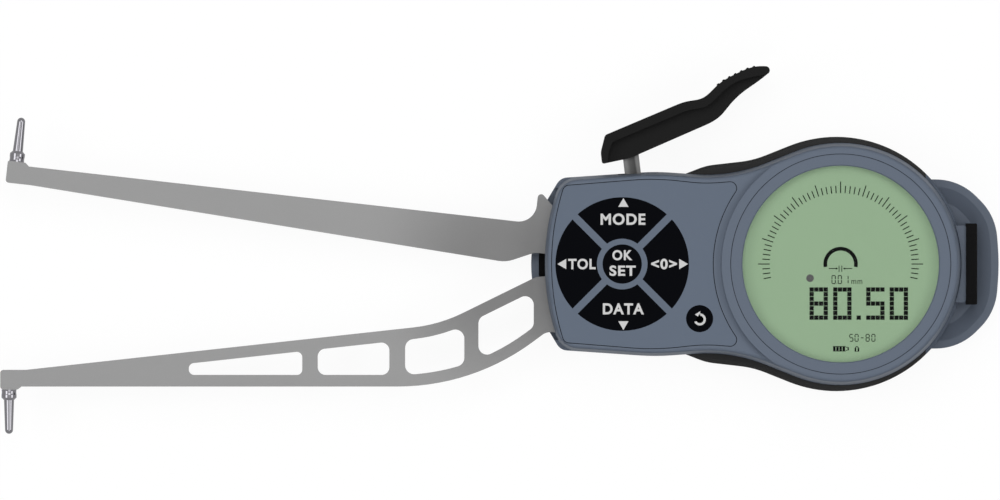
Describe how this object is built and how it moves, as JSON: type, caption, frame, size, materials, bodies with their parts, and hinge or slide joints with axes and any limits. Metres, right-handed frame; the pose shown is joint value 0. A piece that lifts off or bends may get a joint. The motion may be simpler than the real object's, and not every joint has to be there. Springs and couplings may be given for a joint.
{
  "type": "inside caliper gauge",
  "caption": "Hand-held inside caliper gauge: long measuring arms with outward contact pins, round display, keypad and a finger lever that closes the arms.",
  "frame": {"origin": "on the axis of the moving arm's pivot, at the back of the housing, on which the gauge lies", "axes": "+X from the arms to the display, +Y towards the finger lever, +Z out of the display"},
  "size_m": [0.2547, 0.0938, 0.0264],
  "materials": {
    "housing_top": "fine texture",
    "keypad_plate": "satin",
    "housing_back": "fine texture",
    "grip": "matte",
    "window": "clear",
    "lcd": "satin",
    "inner_black": "matte",
    "board": "satin",
    "key": "satin",
    "lever": "satin",
    "arm": "bead blasted",
    "pin": "polished",
    "steel": "satin",
    "bronze": "satin",
    "seal": "matte",
    "cell": "satin"
  },
  "bodies": {
    "housing": {"arm_pivot_shaft": "steel", "arm_retaining_ring": "steel", "arm_slot_seal": "seal", "batteries": "cell", "battery_contacts": "steel", "battery_cover": "housing_back", "battery_cover_screws": "steel", "battery_cover_seal": "seal", "board_screws": "steel", "data_connector": "inner_black", "data_port_block": "housing_back", "display_bezel": "housing_top", "display_window": "window", "fixed_arm": "arm", "fixed_arm_screws": "steel", "fixed_contact_pin": "pin", "frame_screws": "steel", "front_housing": "housing_top", "housing_screws": "steel", "key_domes": "steel", "keypad_board": "board", "keypad_foil": "keypad_plate", "lcd_frame": "inner_black", "lcd_panel": "lcd", "lever_pivot_shaft": "steel", "lever_retaining_ring": "steel", "lever_slot_seal": "seal", "main_board": "board", "measuring_frame": "arm", "rear_housing": "housing_back", "return_spring": "steel", "sensor_head": "inner_black", "side_grips": "grip", "window_seal": "seal"},
    "moving_arm": {"movable_arm": "arm", "moving_contact_pin": "pin", "arm_gear_sector": "steel", "sector_screws": "steel", "encoder_segment": "steel", "arm_bearing_bush": "bronze"},
    "finger_lever": {"lever_shank": "steel", "lever_handle": "lever", "lever_screw": "steel", "lever_bearing_bush": "bronze"},
    "mode_key": {"key_mode": "key"},
    "data_key": {"key_data": "key"},
    "tolerance_key": {"key_tol": "key"},
    "zero_key": {"key_zero": "key"},
    "centre_key": {"key_ok": "key"},
    "round_key": {"key_back": "key"},
    "port_cap": {"port_cap": "seal"}
  },
  "joints": [
    {"name": "arm_pivot", "type": "hinge", "parent": "housing", "child": "moving_arm", "pos_m": [0, 0, 0.0135], "axis": [0, 0, 1], "range_deg": [0, 12], "stiffness_Nm_per_rad": 0.25, "springref_deg": -28.65},
    {"name": "lever_pivot", "type": "hinge", "parent": "housing", "child": "finger_lever", "pos_m": [0.00399, 0.01305, 0.0135], "axis": [0, 0, 1], "range_deg": [-15.6, 0]},
    {"name": "key_mode_press", "type": "slide", "parent": "housing", "child": "mode_key", "axis": [0, 0, -1], "range_m": [0, 0.0004], "stiffness_N_per_m": 1500},
    {"name": "key_data_press", "type": "slide", "parent": "housing", "child": "data_key", "axis": [0, 0, -1], "range_m": [0, 0.0004], "stiffness_N_per_m": 1500},
    {"name": "key_tol_press", "type": "slide", "parent": "housing", "child": "tolerance_key", "axis": [0, 0, -1], "range_m": [0, 0.0004], "stiffness_N_per_m": 1500},
    {"name": "key_zero_press", "type": "slide", "parent": "housing", "child": "zero_key", "axis": [0, 0, -1], "range_m": [0, 0.0004], "stiffness_N_per_m": 1500},
    {"name": "key_ok_press", "type": "slide", "parent": "housing", "child": "centre_key", "axis": [0, 0, -1], "range_m": [0, 0.0004], "stiffness_N_per_m": 1500},
    {"name": "key_back_press", "type": "slide", "parent": "housing", "child": "round_key", "axis": [0, 0, -1], "range_m": [0, 0.0004], "stiffness_N_per_m": 1500},
    {"name": "port_cap_pull", "type": "slide", "parent": "housing", "child": "port_cap", "axis": [1, 0, 0], "range_m": [0, 0.006]}
  ],
  "couplings": [
    {"joint": "lever_pivot", "follows": "arm_pivot", "ratio": -1.2941}
  ]
}
